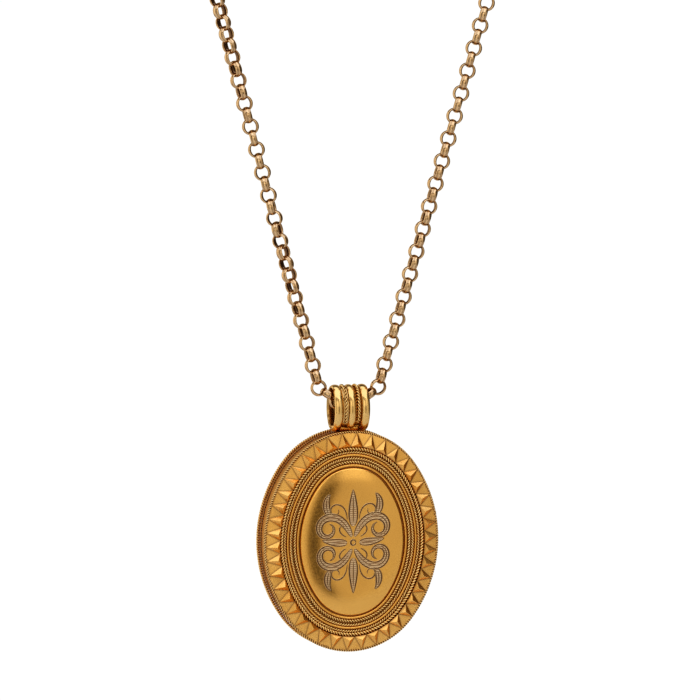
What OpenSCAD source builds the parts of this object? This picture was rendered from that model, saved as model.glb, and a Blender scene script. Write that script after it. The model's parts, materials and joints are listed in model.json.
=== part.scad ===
// Oval locket pendant on a round-link belcher chain.
// The locket opens like a book: a front cover with a border of small pyramids, soldered
// rope and plain wires and a raised oval plaque turns on a pin at the wearer's left.
// It hangs by a hinged three-band bail from the lowest link of the chain.
// Millimetres. +Z is up and the locket's front faces -Y. The origin is the middle of the
// clasp, where the chain rests on the nape of the neck.

/* [Locket] */
// Half width at the outer edge of the pyramid border
half_width = 16.7; // [14:0.1:20]
// Half height at the outer edge of the pyramid border
half_height = 20.54; // [18:0.02:24]
// Depth from the front outline to the middle of the back rope
depth = 5.3; // [5:0.1:7]
// Thickness of the front and back sheets
sheet = 0.6; // [0.4:0.05:0.8]

/* [Border] */
// Number of pyramids round the border
pyramids = 42; // [30:1:60]
// Width of the pyramid border
pyramid_band = 2.6; // [2:0.1:3.2]
// Height of a pyramid's tip above the outline
pyramid_height = 1.5; // [0.8:0.1:2]
// Height of the valleys at the border's inner edge
valley_height = 0.45; // [0.2:0.05:0.8]
// Distance of a tip from the outline, as a part of the border's width
tip_place = 0.74; // [0.5:0.02:0.85]
// Turn of the first pyramid from the top, in pyramids
pyramid_phase = 0.34; // [0:0.02:1]

/* [Wires] */
// Radius of the four soldered rope wires
rope_r = 0.28; // [0.2:0.02:0.4]
// Radius of the two plain wires
wire_r = 0.27; // [0.2:0.01:0.4]
// Radius of the ropes on the front and back rims
rim_r = 0.33; // [0.25:0.01:0.45]

/* [Plaque] */
// Distance of the plaque's edge inside the outline
plaque_inset = 6.6; // [6:0.1:7.5]
// Height of the plaque's crown above the outline
plaque_height = 0.85; // [0.6:0.05:1.2]

/* [Hinge] */
// Radius of the hinge's knuckles
knuckle_r = 0.85; // [0.7:0.05:1.1]
// Radius of the hinge pin
hinge_pin_r = 0.4; // [0.3:0.05:0.5]
// Whole length of the hinge
hinge_length = 9; // [6:0.5:12]

/* [Bail] */
// Width of the bail along the chain
bail_width = 6.8; // [6:0.1:9]
// Half depth of the bail, front to back
bail_half_depth = 3.35; // [3.2:0.05:4.5]
// Half height of the bail
bail_half_height = 4.4; // [4.3:0.05:5.5]
// Distance of the bail's middle behind the locket's front outline
bail_back = 2.4; // [1.5:0.05:3]
// Radius of the pin at the bail's foot
bail_pin_r = 0.3; // [0.2:0.05:0.4]

/* [Chain] */
// Outer radius of a link
link_r = 1.54; // [1.5:0.01:1.6]
// Wall of a link
link_wall = 0.33; // [0.3:0.01:0.35]
// Width of a link's band
link_band = 1.28; // [1:0.02:1.3]
// Distance between the middles of two neighbouring links
pitch = 2.2; // [2.18:0.01:2.21]
// Number of links from the bail to the clasp on each side
side_links = 103; // [95:2:115]
// Slope of the two strands from the vertical, in degrees
strand_slope = 15.7; // [12:0.1:20]
// Lean of the whole chain to the photo's right, in degrees
chain_lean = 0.75; // [-2:0.05:2]
// Turn of the part of the chain that lies round the neck, on each side, in degrees
neck_turn = 125; // [115:1:130]
// Tilt of that part from the level, in degrees
neck_tilt = 30; // [20:1:40]
// Radius of the bend where a strand turns back over the collarbone
shoulder_r = 30; // [20:1:40]

/* [Clasp] */
// Radius to the middle of the clasp's ring
clasp_r = 3.2; // [2.8:0.1:4]
// Radius of the clasp ring's tube
clasp_tube = 0.6; // [0.5:0.05:0.65]

/* [Hidden] */
$fn = 64;

gap = 0.05;
running_gap = 0.04;
gold = [0.84, 0.63, 0.27];
plaque_gold = [0.88, 0.68, 0.36];
chain_gold = [0.78, 0.53, 0.28];
pin_gold = [0.7, 0.5, 0.22];

// An oval of four arcs has a short arc at each end and a long arc at each side. The
// centres of two neighbouring arcs and the oval's middle make a 3-4-5 triangle, so the
// arcs meet in the direction [0.8, 0.6]. As a list: the end arc's radius, the side arc's
// radius, and how far their centres lie up and across from the middle. All curves
// parallel to the outline share these centres.
function oval(a, b) =
    let (r = (3 * a - b) / 2, spread = (b - a) / 0.4)
    [r, r + spread, 0.6 * spread, 0.8 * spread];

meeting_angle = atan2(3, 4);
locket_oval = oval(half_width, half_height);
bail_oval = oval(bail_half_depth, bail_half_height);

// Sweeps a profile round an oval. The profile's X is the distance outside the outline and
// its Y is the height above the oval's plane. Each quarter has half of an end arc and half
// of a side arc, which run a little past the oval's axes into their mirror images.
module round_oval(o) {
    past = 5;
    for (x = [0, 1], y = [0, 1]) mirror([x, 0, 0]) mirror([0, y, 0]) {
        multmatrix([[0.8, -0.6, 0, 0], [0.6, 0.8, 0, o[2]], [0, 0, 1, 0], [0, 0, 0, 1]])
            rotate_extrude(angle = 90 - meeting_angle + past) translate([o[0], 0]) children();
        multmatrix([[0.8, 0.6, 0, -o[3]], [-0.6, 0.8, 0, 0], [0, 0, 1, 0], [0, 0, 0, 1]])
            rotate_extrude(angle = meeting_angle + past) translate([o[1], 0]) children();
    }
}

// A flat oval plate, of the part between its side arcs and the two ends.
module oval_plate(o, inset, low, high) {
    meeting = 0.6 * (o[1] - inset);
    size = 4 * o[1];
    translate([0, 0, low]) {
        intersection() {
            translate([-o[3], 0, 0]) cylinder(h = high - low, r = o[1] - inset);
            translate([o[3], 0, 0]) cylinder(h = high - low, r = o[1] - inset);
            translate([-size / 2, -meeting, 0]) cube([size, 2 * meeting, high - low]);
        }
        for (y = [0, 1]) mirror([0, y, 0]) intersection() {
            translate([0, o[2], 0]) cylinder(h = high - low, r = o[0] - inset);
            translate([-size / 2, meeting, 0]) cube([size, size, high - low]);
        }
    }
}

// The point of the oval at a part (0 to 1) of the way round the curve that lies `inset`
// inside the outline, clockwise from the top, moved out to the distance `out` from it.
function oval_point(o, inset, part, out) =
    let (
        end_half = (o[0] - inset) * (90 - meeting_angle),
        side_half = (o[1] - inset) * meeting_angle,
        quarter = end_half + side_half,
        way = 4 * quarter * (part - floor(part)),
        half = way < 2 * quarter ? 1 : -1,
        way_half = half > 0 ? way : 4 * quarter - way,
        upper = way_half < quarter ? 1 : -1,
        way_quarter = upper > 0 ? way_half : 2 * quarter - way_half,
        on_end = way_quarter < end_half,
        angle = on_end
            ? 90 - way_quarter / (o[0] - inset)
            : meeting_angle - (way_quarter - end_half) / (o[1] - inset),
        reach = (on_end ? o[0] : o[1]) - inset + out,
        x = (on_end ? 0 : -o[3]) + reach * cos(angle),
        y = (on_end ? o[2] : 0) + reach * sin(angle)
    )
    [half * x, upper * y];

// The locket's parts are drawn lying on their backs, with the front up and the outline at
// height 0, and are then stood up. Heights here are distances towards the viewer.
module upright() {
    rotate([90, 0, 0]) children();
}

wall_out = -0.15;
wall_in = wall_out - sheet;
seam_height = -depth + 0.62;
back_plane = -depth - 0.35;
back_crown = 0.8;
lip_gap = 0.1;
lip_rise = 1.15;
lip_in = wall_in - lip_gap - sheet;
rim_out = 0.12;
floor_height = -0.1;

rope_places = [2.95, 3.5, 4.86, 5.41];
wire_places = [4.18, 6.02];

hinge_x = half_width + wall_out + knuckle_r - 0.25;
hinge_depth = seam_height;
hinge_cover_part = 0.4 * hinge_length;

bail_foot_r = 0.58;
bail_lug = 1.7;
// The bail's feet lie in the hollow between the front and back rim ropes.
bail_pin_z = half_height + 0.07 + bail_foot_r;
bail_z = bail_pin_z - bail_foot_r + bail_half_height;
bail_wall = 0.3;
bail_band = 0.3;
chain_z = bail_z + bail_half_height - bail_wall - bail_band - 2.55;

// One strand, from the middle of the link in the bail to the middle of the clasp, as a
// list of moves: the length, the turn in degrees and the axis that it turns about.
// A turn with no length is a corner, which lies at the middle of a link.
first_corner = 35;
clasp_reach = clasp_r - clasp_tube - 0.14 + link_r - link_wall;
half_chain = side_links * pitch + clasp_reach;

function unit(v) = v / norm(v);
up_the_strand = [sin(strand_slope), 0, cos(strand_slope)];
to_the_neck = [
    -cos(neck_turn),
    sin(neck_turn) * cos(neck_tilt),
    sin(neck_turn) * sin(neck_tilt),
];
shoulder_turn = acos(up_the_strand * to_the_neck);
shoulder_length = shoulder_r * shoulder_turn * PI / 180;
shoulder_step = shoulder_r * tan(shoulder_turn / 2) * (up_the_strand + to_the_neck);
corner_x = pitch * (1 + 2 * cos(first_corner));
free_length = half_chain - 3 * pitch - shoulder_length;
neck_r = (corner_x + sin(strand_slope) * free_length + shoulder_step.x)
    / (sin(neck_turn) + sin(strand_slope) * neck_turn * PI / 180);
neck_length = neck_r * neck_turn * PI / 180;

moves = [
    [pitch, 0, [0, 1, 0]],
    [0, first_corner, [0, -1, 0]],
    [2 * pitch, 0, [0, 1, 0]],
    [0, 90 - strand_slope - first_corner, [0, -1, 0]],
    [free_length - neck_length, 0, [0, 1, 0]],
    [shoulder_length, shoulder_turn, unit(cross(up_the_strand, to_the_neck))],
    [neck_length, neck_turn, unit(cross(to_the_neck, [-1, 0, 0]))],
];

function turned(v, axis, angle) =
    v * cos(angle) + cross(axis, v) * sin(angle) + axis * (axis * v) * (1 - cos(angle));

// Where a move ends: the place, the direction along the chain and the direction across.
function moved(at, move, part) =
    let (
        angle = move[1] * part,
        way = move[1] == 0 || move[0] == 0
            ? at[1] * move[0] * part
            : let (
                radius = move[0] / (move[1] * PI / 180),
                inward = cross(move[2], at[1])
            )
            radius * (at[1] * sin(angle) + inward * (1 - cos(angle)))
    )
    [at[0] + way, turned(at[1], move[2], angle), turned(at[2], move[2], angle)];

function follow(at, distance, k = 0) =
    distance <= moves[k][0] || k == len(moves) - 1
        ? moved(at, moves[k], moves[k][0] == 0 ? 0 : distance / moves[k][0])
        : follow(moved(at, moves[k], 1), distance - moves[k][0], k + 1);

strand_start = [[0, 0, 0], [1, 0, 0], [0, 0, -1]];
nape = follow(strand_start, half_chain);
bail_link = turned(-nape[0], [0, 1, 0], chain_lean);
locket_place = bail_link - [0, bail_back, chain_z];

// How far the links have turned about the strand's own line: the distance from the bail
// and the turn in degrees. The wearer's right strand is twisted by about a third of a turn.
twist_left_of_photo = [
    [0, 0], [7, 0], [13, -2], [19, -7], [27, -20], [31, -32], [34, -43], [38, -58],
    [42, -66], [48, -72], [55, -76], [62, -88], [69, -105], [76, -122], [110, -150],
    [190, -150], [229, -90],
];
twist_right_of_photo = [
    [0, 0], [7, 0], [12, -12], [20, -6], [30, -2], [40, -3], [48, -8], [55, -14],
    [80, -15], [190, -60], [229, -90],
];

// A link's section: the distance from the link's middle and the place across the band.
// The inside is crowned, so that the next link can lie in it at right angles.
module link() {
    inner = link_r - link_wall;
    rotate_extrude()
        polygon([
            [inner, -0.2 * link_band],
            [inner, 0.2 * link_band],
            [link_r - 0.14, 0.5 * link_band],
            [link_r, 0.28 * link_band],
            [link_r, -0.28 * link_band],
            [link_r - 0.14, -0.5 * link_band],
        ]);
}

module link_at(k, twist) {
    at = follow(strand_start, k * pitch);
    along = at[1];
    turn = lookup(k * pitch, twist) + (k % 2 == 0 ? 90 : 0);
    across = at[2] * cos(turn) + cross(along, at[2]) * sin(turn);
    normal = cross(along, across);
    place = at[0] - nape[0];
    multmatrix([
        [along.x, across.x, normal.x, place.x],
        [along.y, across.y, normal.y, place.y],
        [along.z, across.z, normal.z, place.z],
        [0, 0, 0, 1],
    ])
        link();
}

// The chain is two strands that meet at the lowest link, inside the bail. It leans a little
// about the nape, because the bail never stops quite at the chain's middle.
module leaning() {
    color(chain_gold) rotate([0, chain_lean, 0]) children();
}

module chain_right() {
    leaning() for (k = [0:side_links]) link_at(k, twist_right_of_photo);
}

module chain_left() {
    leaning() mirror([1, 0, 0]) for (k = [1:side_links]) link_at(k, twist_left_of_photo);
}

// A plain closed ring with a thumb stud, standing for a bolt ring. Its plane is square to
// that of the two end links.
module clasp() {
    last_turn = lookup(side_links * pitch, twist_right_of_photo);
    across = nape[2] * cos(last_turn) + cross(nape[1], nape[2]) * sin(last_turn);
    leaning()
        multmatrix([
            [1, 0, 0, 0],
            [0, across.z, across.y, 0],
            [0, -across.y, across.z, 0],
            [0, 0, 0, 1],
        ]) {
            rotate_extrude() translate([clasp_r, 0]) circle(clasp_tube);
            translate([0, clasp_r + 0.3, 0]) rotate([-90, 0, 0]) cylinder(h = 1, r = 0.35);
        }
}

module at_locket() {
    translate(locket_place) children();
}

module at_hinge() {
    translate([hinge_x, 0, hinge_depth]) rotate([-90, 0, 0]) children();
}

// A wire soldered on the front: a round section whose lower half is sunk in the sheet.
module wire_section(inset, r) {
    translate([-inset, floor_height + 0.5 * r]) circle(r);
}

// The border of pyramids is one ring of flat facets. Each pyramid has a tip near the
// border's inner edge, and valleys run between the tips from the outline's points.
module pyramid_border() {
    base = floor_height - 0.3;
    function place(part, inset, height) =
        let (p = oval_point(locket_oval, pyramid_band, part, pyramid_band - inset))
        [p.x, p.y, height];
    rows = [
        for (k = [0:pyramids - 1])
            let (part = (k + pyramid_phase) / pyramids, next = part + 0.5 / pyramids)
            [
                place(part, 0, base),
                place(part, 0, 0),
                place(part, tip_place * pyramid_band, pyramid_height),
                place(next, pyramid_band, valley_height),
                place(next, pyramid_band, base),
            ]
    ];
    points = [for (row = rows) each row];
    faces = [
        for (k = [0:pyramids - 1])
            let (a = 5 * k, b = 5 * ((k + 1) % pyramids), z = 5 * ((k + pyramids - 1) % pyramids))
            each [
                [a + 1, a, b, b + 1],
                [a + 1, b + 1, a + 3],
                [a + 1, a + 3, a + 2],
                [a + 1, a + 2, z + 3],
                [a + 2, a + 3, z + 3],
                [z + 3, a + 3, a + 4, z + 4],
                [a, z + 4, a + 4],
                [a, a + 4, b],
            ]
    ];
    polyhedron(points, faces);
}

// The front sheet with its wall, all soldered wires and the middle knuckle of the hinge.
module front_cover() {
    color(gold)
        at_locket()
        upright()
        difference() {
            union() {
                round_oval(locket_oval) {
                    union() {
                        translate([wall_in, seam_height + gap])
                            square([sheet, -seam_height - gap + floor_height]);
                        translate([-plaque_inset - 0.4, floor_height - sheet])
                            square([plaque_inset + 0.4 + wall_out, sheet]);
                        translate([-plaque_inset + gap + 0.05, floor_height - 0.1])
                            square([plaque_inset - pyramid_band, 0.2]);
                        translate([rim_out, -0.25]) circle(rim_r);
                        translate([wall_in, -0.5]) square([rim_out - wall_in, 0.4]);
                        for (inset = rope_places) wire_section(inset, rope_r);
                        for (inset = wire_places) wire_section(inset, wire_r);
                    }
                }
                oval_plate(locket_oval, plaque_inset, floor_height - sheet, floor_height);
                pyramid_border();
                at_hinge() {
                    cylinder(h = hinge_cover_part - 2 * gap, r = knuckle_r, center = true);
                    translate([0.1 - knuckle_r, 0, 0])
                        cube([0.8, 1.2, hinge_cover_part - 2 * gap], center = true);
                }
            }
            at_hinge() {
                cylinder(h = hinge_length, r = hinge_pin_r + running_gap, center = true);
                for (side = [-1, 1])
                    translate([0, 0, side * (hinge_length + hinge_cover_part) / 4])
                        cylinder(
                            h = (hinge_length - hinge_cover_part) / 2 + 0.2,
                            r = knuckle_r + 0.08,
                            center = true
                        );
            }
        }
}

// The raised oval plaque lies in the frame of the innermost wire.
module centre_plaque() {
    steps = 8;
    reach = 5;
    edge = 0.35;
    crown = plaque_height - floor_height - gap;
    function rise(s) = edge + (crown - edge) * (1 - (1 - s) ^ 2.2);
    color(plaque_gold)
        at_locket()
        upright()
        translate([0, 0, floor_height + gap]) {
            round_oval(locket_oval)
                translate([-plaque_inset, 0])
                    polygon([
                        [0, 0],
                        for (k = [0:steps]) [-reach * k / steps, rise(k / steps)],
                        [-reach, 0],
                    ]);
            oval_plate(locket_oval, plaque_inset + reach, 0, crown);
        }
}

// The back sheet is slightly domed. Its rim carries a rope, a lip that the cover closes
// over, the two outer knuckles of the hinge and the lug for the bail.
module back_case() {
    steps = 6;
    reach = 6;
    inner = back_plane + sheet;
    function sink(s) = back_crown * (1 - (1 - s) ^ 2);
    color(gold)
        at_locket()
        upright()
        difference() {
            union() {
                round_oval(locket_oval) {
                    union() {
                        polygon([
                            [wall_out, seam_height],
                            [wall_out, back_plane],
                            for (k = [0:steps]) [-0.5 - reach * k / steps, back_plane - sink(k / steps)],
                            for (k = [steps:-1:0])
                                [lip_in - (reach + 0.5 + lip_in) * k / steps, inner - sink(k / steps)],
                            [lip_in, seam_height + lip_rise],
                            [lip_in + sheet, seam_height + lip_rise],
                            [lip_in + sheet, seam_height],
                        ]);
                        translate([rim_out, -depth]) circle(rim_r);
                    }
                }
                oval_plate(
                    locket_oval, reach + 0.5, back_plane - back_crown, inner - back_crown
                );
                at_hinge()
                    for (side = [-1, 1])
                        translate([0, 0, side * (hinge_length + hinge_cover_part) / 4]) {
                            cylinder(
                                h = (hinge_length - hinge_cover_part) / 2,
                                r = knuckle_r,
                                center = true
                            );
                        }
                bail_lug();
            }
            at_hinge() {
                cylinder(h = hinge_length + 1, r = hinge_pin_r + running_gap, center = true);
                cylinder(h = hinge_cover_part, r = knuckle_r + 0.08, center = true);
                translate([-knuckle_r, 0, 0])
                    cube([2 * knuckle_r - 0.4, 1.4, hinge_cover_part], center = true);
            }
            translate([0, bail_pin_z, -bail_back])
                rotate([0, 90, 0])
                cylinder(h = 2 * bail_lug + 1, r = bail_pin_r + running_gap, center = true);
        }
}

// The lug reaches forward from the back case, over the cover's rim, to the bail's pin.
module bail_lug() {
    low = half_height + rim_out + rim_r + 0.1;
    translate([0, bail_pin_z, -bail_back])
        rotate([0, 90, 0])
        cylinder(h = 2 * bail_lug, r = bail_foot_r, center = true);
    translate([-bail_lug, low, -depth - 0.2]) cube([2 * bail_lug, 0.55, depth + 0.2 - bail_back]);
    translate([-bail_lug, half_height - 0.7, -depth - 0.2]) cube([2 * bail_lug, 1.6, 0.6]);
}

module hinge_pin() {
    color(pin_gold)
        at_locket()
        upright()
        at_hinge()
        cylinder(h = hinge_length, r = hinge_pin_r, center = true);
}

// The bail is a hoop of three domed bands with a rope in each groove. Its two outer bands
// wrap the pin, and the middle one stops short of the lug.
module bail() {
    half = bail_width / 2;
    outer_half = 0.8;
    middle_half = 0.72;
    steps = 8;
    function band(middle, half_width) = [
        for (k = [0:steps])
            let (angle = 180 * k / steps)
            [-bail_band * (1 - sin(angle)), middle - half_width * cos(angle)]
    ];
    rope_place = (half - 2 * outer_half + middle_half) / 2;
    color(gold)
        at_locket()
        translate([0, bail_back, bail_z])
        difference() {
            union() {
                rotate([90, 0, 90])
                    round_oval(bail_oval) {
                        union() {
                            polygon([
                                [-bail_wall - bail_band, -half],
                                each band(outer_half - half, outer_half),
                                each band(0, middle_half),
                                each band(half - outer_half, outer_half),
                                [-bail_wall - bail_band, half],
                            ]);
                            for (side = [-1, 1])
                                translate([-0.26, side * rope_place]) circle(0.3);
                        }
                    }
                for (side = [-1, 1])
                    translate([side * (half - outer_half - 0.02), 0, bail_pin_z - bail_z])
                        rotate([0, 90, 0])
                        cylinder(h = 2 * outer_half - 0.1, r = bail_foot_r, center = true);
            }
            translate([-bail_lug - 0.12, -2, -bail_half_height - 1])
                cube([2 * (bail_lug + 0.12), 6, 3.2]);
            for (side = [-1, 1])
                translate([side * rope_place - 0.56, -4, -bail_half_height - 1])
                    cube([1.12, 4, 2]);
            translate([0, 0, bail_pin_z - bail_z])
                rotate([0, 90, 0]) {
                    cylinder(h = bail_width + 1, r = bail_pin_r + running_gap, center = true);
                    cylinder(h = 2 * (bail_lug + 0.12), r = bail_foot_r + 0.1, center = true);
                }
        }
}

module bail_pin() {
    color(pin_gold)
        at_locket()
        translate([0, bail_back, bail_pin_z])
        rotate([0, 90, 0])
        cylinder(h = bail_width - 0.2, r = bail_pin_r, center = true);
}

chain_left();
chain_right();
clasp();
bail();
bail_pin();
back_case();
hinge_pin();
front_cover();
centre_plaque();
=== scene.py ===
"""A gold oval locket on a round-link chain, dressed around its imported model.

The locket is drawn lying on its back in millimetres: across, up, and the height towards the
viewer above the front outline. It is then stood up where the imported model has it.
"""

import json
import math

import bmesh
import bpy
import numpy as np
from mathutils import Matrix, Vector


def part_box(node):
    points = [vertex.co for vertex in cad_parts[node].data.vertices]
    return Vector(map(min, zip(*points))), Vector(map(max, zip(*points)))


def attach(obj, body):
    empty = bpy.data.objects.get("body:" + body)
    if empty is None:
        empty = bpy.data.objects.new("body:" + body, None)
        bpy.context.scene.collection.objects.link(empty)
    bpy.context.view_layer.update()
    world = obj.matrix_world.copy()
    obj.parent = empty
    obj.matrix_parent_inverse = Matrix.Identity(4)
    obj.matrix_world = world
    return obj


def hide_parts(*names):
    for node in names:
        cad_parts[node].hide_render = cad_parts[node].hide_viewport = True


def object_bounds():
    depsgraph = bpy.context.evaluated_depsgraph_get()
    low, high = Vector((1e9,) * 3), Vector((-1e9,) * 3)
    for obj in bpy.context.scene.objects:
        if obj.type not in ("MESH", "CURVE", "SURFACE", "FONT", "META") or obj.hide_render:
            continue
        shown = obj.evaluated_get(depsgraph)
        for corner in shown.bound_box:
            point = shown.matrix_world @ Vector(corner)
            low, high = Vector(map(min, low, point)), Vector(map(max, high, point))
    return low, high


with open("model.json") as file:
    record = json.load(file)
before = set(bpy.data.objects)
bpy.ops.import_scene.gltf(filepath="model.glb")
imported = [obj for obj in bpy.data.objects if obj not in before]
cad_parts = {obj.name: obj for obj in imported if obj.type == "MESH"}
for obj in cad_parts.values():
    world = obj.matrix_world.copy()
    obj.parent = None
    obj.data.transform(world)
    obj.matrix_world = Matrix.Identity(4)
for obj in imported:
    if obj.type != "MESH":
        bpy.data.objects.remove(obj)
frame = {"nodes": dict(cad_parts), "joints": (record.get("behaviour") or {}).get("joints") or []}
cad_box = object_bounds()
pivots = {joint["name"]: np.array(joint["pos_m"]) for joint in frame["joints"]}


# Back case: the rear half of the locket, a shallow pan of gold sheet with a domed back. A lip
# stands inside its rim for the cover to close over, and a lug at the top takes the bail's pin.
mm = 0.001
half_width = 16.7
half_height = 20.54
plaque_crown = 0.85
seam_height = -4.68
back_height = -5.65
meeting_angle = math.atan2(3, 4)

plaque_low, plaque_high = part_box("centre_plaque")
locket_place = np.array([
    (plaque_low.x + plaque_high.x) / 2,
    plaque_low.y + plaque_crown * mm,
    (plaque_low.z + plaque_high.z) / 2,
])


def four_arc_oval(half_width, half_height):
    """The radii of an oval's end and side arcs, and how far their centres lie up and across.
    Two neighbouring centres and the oval's middle make a 3-4-5 triangle."""
    end = (3 * half_width - half_height) / 2
    spread = (half_height - half_width) / 0.4
    return end, end + spread, 0.6 * spread, 0.8 * spread


locket_oval = four_arc_oval(half_width, half_height)


def oval_length(oval, inset):
    """The way round the curve that lies `inset` inside the outline: two arcs, four times."""
    end, side, _, _ = oval
    return 4 * ((end - inset) * (math.pi / 2 - meeting_angle) + (side - inset) * meeting_angle)


def round_the_oval(oval, inset, part):
    """The points at a part (0 to 1) of the way round the inset curve, clockwise from the top,
    and the outward directions there: a centre plus the radius along the direction."""
    end, side, up, across = oval
    end_half = (end - inset) * (math.pi / 2 - meeting_angle)
    quarter = oval_length(oval, inset) / 4
    way = 4 * quarter * (np.asarray(part) % 1)
    right = np.where(way < 2 * quarter, 1, -1)
    way = np.where(right > 0, way, 4 * quarter - way)
    top = np.where(way < quarter, 1, -1)
    way = np.where(top > 0, way, 2 * quarter - way)
    on_end = way < end_half
    angle = np.where(
        on_end,
        math.pi / 2 - way / (end - inset),
        meeting_angle - (way - end_half) / (side - inset),
    )
    reach = np.where(on_end, end, side) - inset
    x = np.where(on_end, 0, -across) + reach * np.cos(angle)
    y = np.where(on_end, up, 0) + reach * np.sin(angle)
    points = np.stack([right * x, top * y], -1)
    outward = np.stack([right * np.cos(angle), top * np.sin(angle)], -1)
    return points, outward


def on_locket(flat, height):
    """Drawn millimetres, [across, up] and the height, as places in the model in metres."""
    x, y = flat[..., 0], flat[..., 1]
    return locket_place + mm * np.stack([x, -(height + 0 * x), y], -1)


def swept(profile, columns=256):
    """A profile of rows [inset, height, size] carried round the outline. A row's curve lies
    `inset` inside the outline and is then drawn in to `size` times itself about the middle."""
    profile = np.asarray(profile, float)
    edge, outward = round_the_oval(locket_oval, 0, np.arange(columns) / columns)
    inset, height, size = (profile[:, k, None] for k in range(3))
    flat = (edge[None] - inset[..., None] * outward[None]) * size[..., None]
    return on_locket(flat, height)


def fine_gold(name, colour, warm, deep, roughness, mottle, grain, tooth=0.05, coat=0.6):
    """Polished gold: its tone drifts between `colour` and `warm` over a few millimetres and goes
    to
    `deep` as far as the groove attribute asks, a painted shade; its roughness and bump come from
    wear and fine grain."""
    material = bpy.data.materials.new(name)
    material.use_nodes = True
    tree = material.node_tree
    shader = tree.nodes["Principled BSDF"]
    shader.inputs["Metallic"].default_value = 1
    shader.inputs["Coat Weight"].default_value = coat
    shader.inputs["Coat Roughness"].default_value = 0.12
    shader.inputs["Specular Tint"].default_value = (1, 0.82, 0.6, 1)

    def node(kind, **values):
        made = tree.nodes.new(kind)
        for key, value in values.items():
            made.inputs[key.replace("_", " ")].default_value = value
        return made

    def mixed(low, high, share):
        # A colour mix takes its share in socket 0, its colours in 6 and 7, and gives socket 2.
        mix = tree.nodes.new("ShaderNodeMix")
        mix.data_type = "RGBA"
        for socket, value in ((mix.inputs[6], low), (mix.inputs[7], high)):
            if isinstance(value, tuple):
                socket.default_value = (*value, 1)
            else:
                tree.links.new(value, socket)
        tree.links.new(share, mix.inputs[0])
        return mix.outputs[2]

    def ranged(source, start, end, low, high):
        spread = node("ShaderNodeMapRange", From_Min=start, From_Max=end, To_Min=low, To_Max=high)
        tree.links.new(source, spread.inputs["Value"])
        return spread.outputs["Result"]

    place = tree.nodes.new("ShaderNodeTexCoord").outputs["Object"]
    drift = node("ShaderNodeTexNoise", Scale=mottle, Detail=4.0)
    wear = node("ShaderNodeTexNoise", Scale=grain, Detail=6.0, Roughness=0.65)
    tree.links.new(place, drift.inputs["Vector"])
    tree.links.new(place, wear.inputs["Vector"])
    groove = tree.nodes.new("ShaderNodeAttribute")
    groove.attribute_name = "groove"

    tone = mixed(colour, warm, ranged(drift.outputs["Fac"], start=0.35, end=0.7, low=0, high=1))
    # Painted shade: the tone goes towards `deep` as far as the groove attribute asks.
    tone = mixed(tone, deep, groove.outputs["Fac"])
    tree.links.new(tone, shader.inputs["Base Color"])
    smoother, duller = roughness - 0.05, roughness + 0.09
    worn = ranged(wear.outputs["Fac"], start=0.3, end=0.7, low=smoother, high=duller)
    tree.links.new(worn, shader.inputs["Roughness"])
    bump = node("ShaderNodeBump", Strength=tooth, Distance=0.03 * mm)
    tree.links.new(wear.outputs["Fac"], bump.inputs["Height"])
    tree.links.new(bump.outputs["Normal"], shader.inputs["Normal"])
    return material


def made_piece(name, mesh, material, body, nodes):
    """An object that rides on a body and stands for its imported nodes, with faces outwards."""
    shell = bmesh.new()
    shell.from_mesh(mesh)
    bmesh.ops.remove_doubles(shell, verts=shell.verts, dist=1e-7)
    bmesh.ops.recalc_face_normals(shell, faces=shell.faces)
    shell.to_mesh(mesh)
    shell.free()
    mesh.materials.append(material)
    piece = bpy.data.objects.new(name, mesh)
    bpy.context.scene.collection.objects.link(piece)
    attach(piece, body)
    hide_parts(*nodes)
    return piece


def mark_grooves(mesh, depth):
    """Stores for each point how much painted shade its colour takes, from 0, proud metal, to 1.
    """
    layer = mesh.attributes.new("groove", "FLOAT", "POINT")
    layer.data.foreach_set("value", depth.ravel().astype(np.float32))


def woven_mesh(name, grids, grooves, close_rows, close_columns=True):
    """A mesh of quads between neighbouring points of each grid, rows by columns. `grooves`
    has each grid's painted shade, as one number or as an array that fits the grid."""
    corners = []
    first = 0
    for grid in grids:
        index = first + np.arange(grid.shape[0] * grid.shape[1]).reshape(grid.shape[:2])
        first += index.size
        if close_rows:
            index = np.vstack([index, index[:1]])
        if close_columns:
            index = np.hstack([index, index[:, :1]])
        corners.append(
            np.stack([index[:-1, :-1], index[:-1, 1:], index[1:, 1:], index[1:, :-1]], -1)
        )
    corners = np.concatenate([c.reshape(-1, 4) for c in corners]).astype(np.int32)
    points = np.concatenate([grid.reshape(-1, 3) for grid in grids]).astype(np.float32)
    mesh = bpy.data.meshes.new(name)
    mesh.vertices.add(len(points))
    mesh.vertices.foreach_set("co", points.ravel())
    mesh.loops.add(corners.size)
    mesh.loops.foreach_set("vertex_index", corners.ravel())
    mesh.polygons.add(len(corners))
    mesh.polygons.foreach_set("loop_start", 4 * np.arange(len(corners), dtype=np.int32))
    mesh.polygons.foreach_set("use_smooth", np.ones(len(corners), bool))
    mesh.update(calc_edges=True)
    depths = [np.broadcast_to(groove, grid.shape[:2]) for groove, grid in zip(grooves, grids)]
    mark_grooves(mesh, np.concatenate([depth.ravel() for depth in depths]))
    return mesh


def dished(start, end, drop, rows):
    """Rows of [inset, fall] from `start` to `end`: the fall is `drop` times one less the square
    of the share of the way still to go, so it is steep at first and then flat."""
    share = np.linspace(0, 1, rows)
    return np.stack([start + (end - start) * share, drop * (1 - (1 - share) ** 2)], -1)


locket_gold = fine_gold(
    "yellow_gold",
    colour=(0.96, 0.59, 0.19),
    warm=(0.92, 0.54, 0.16),
    deep=(0.3, 0.15, 0.05),
    roughness=0.24,
    mottle=170,
    grain=2600,
    coat=0.25,
)

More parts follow.
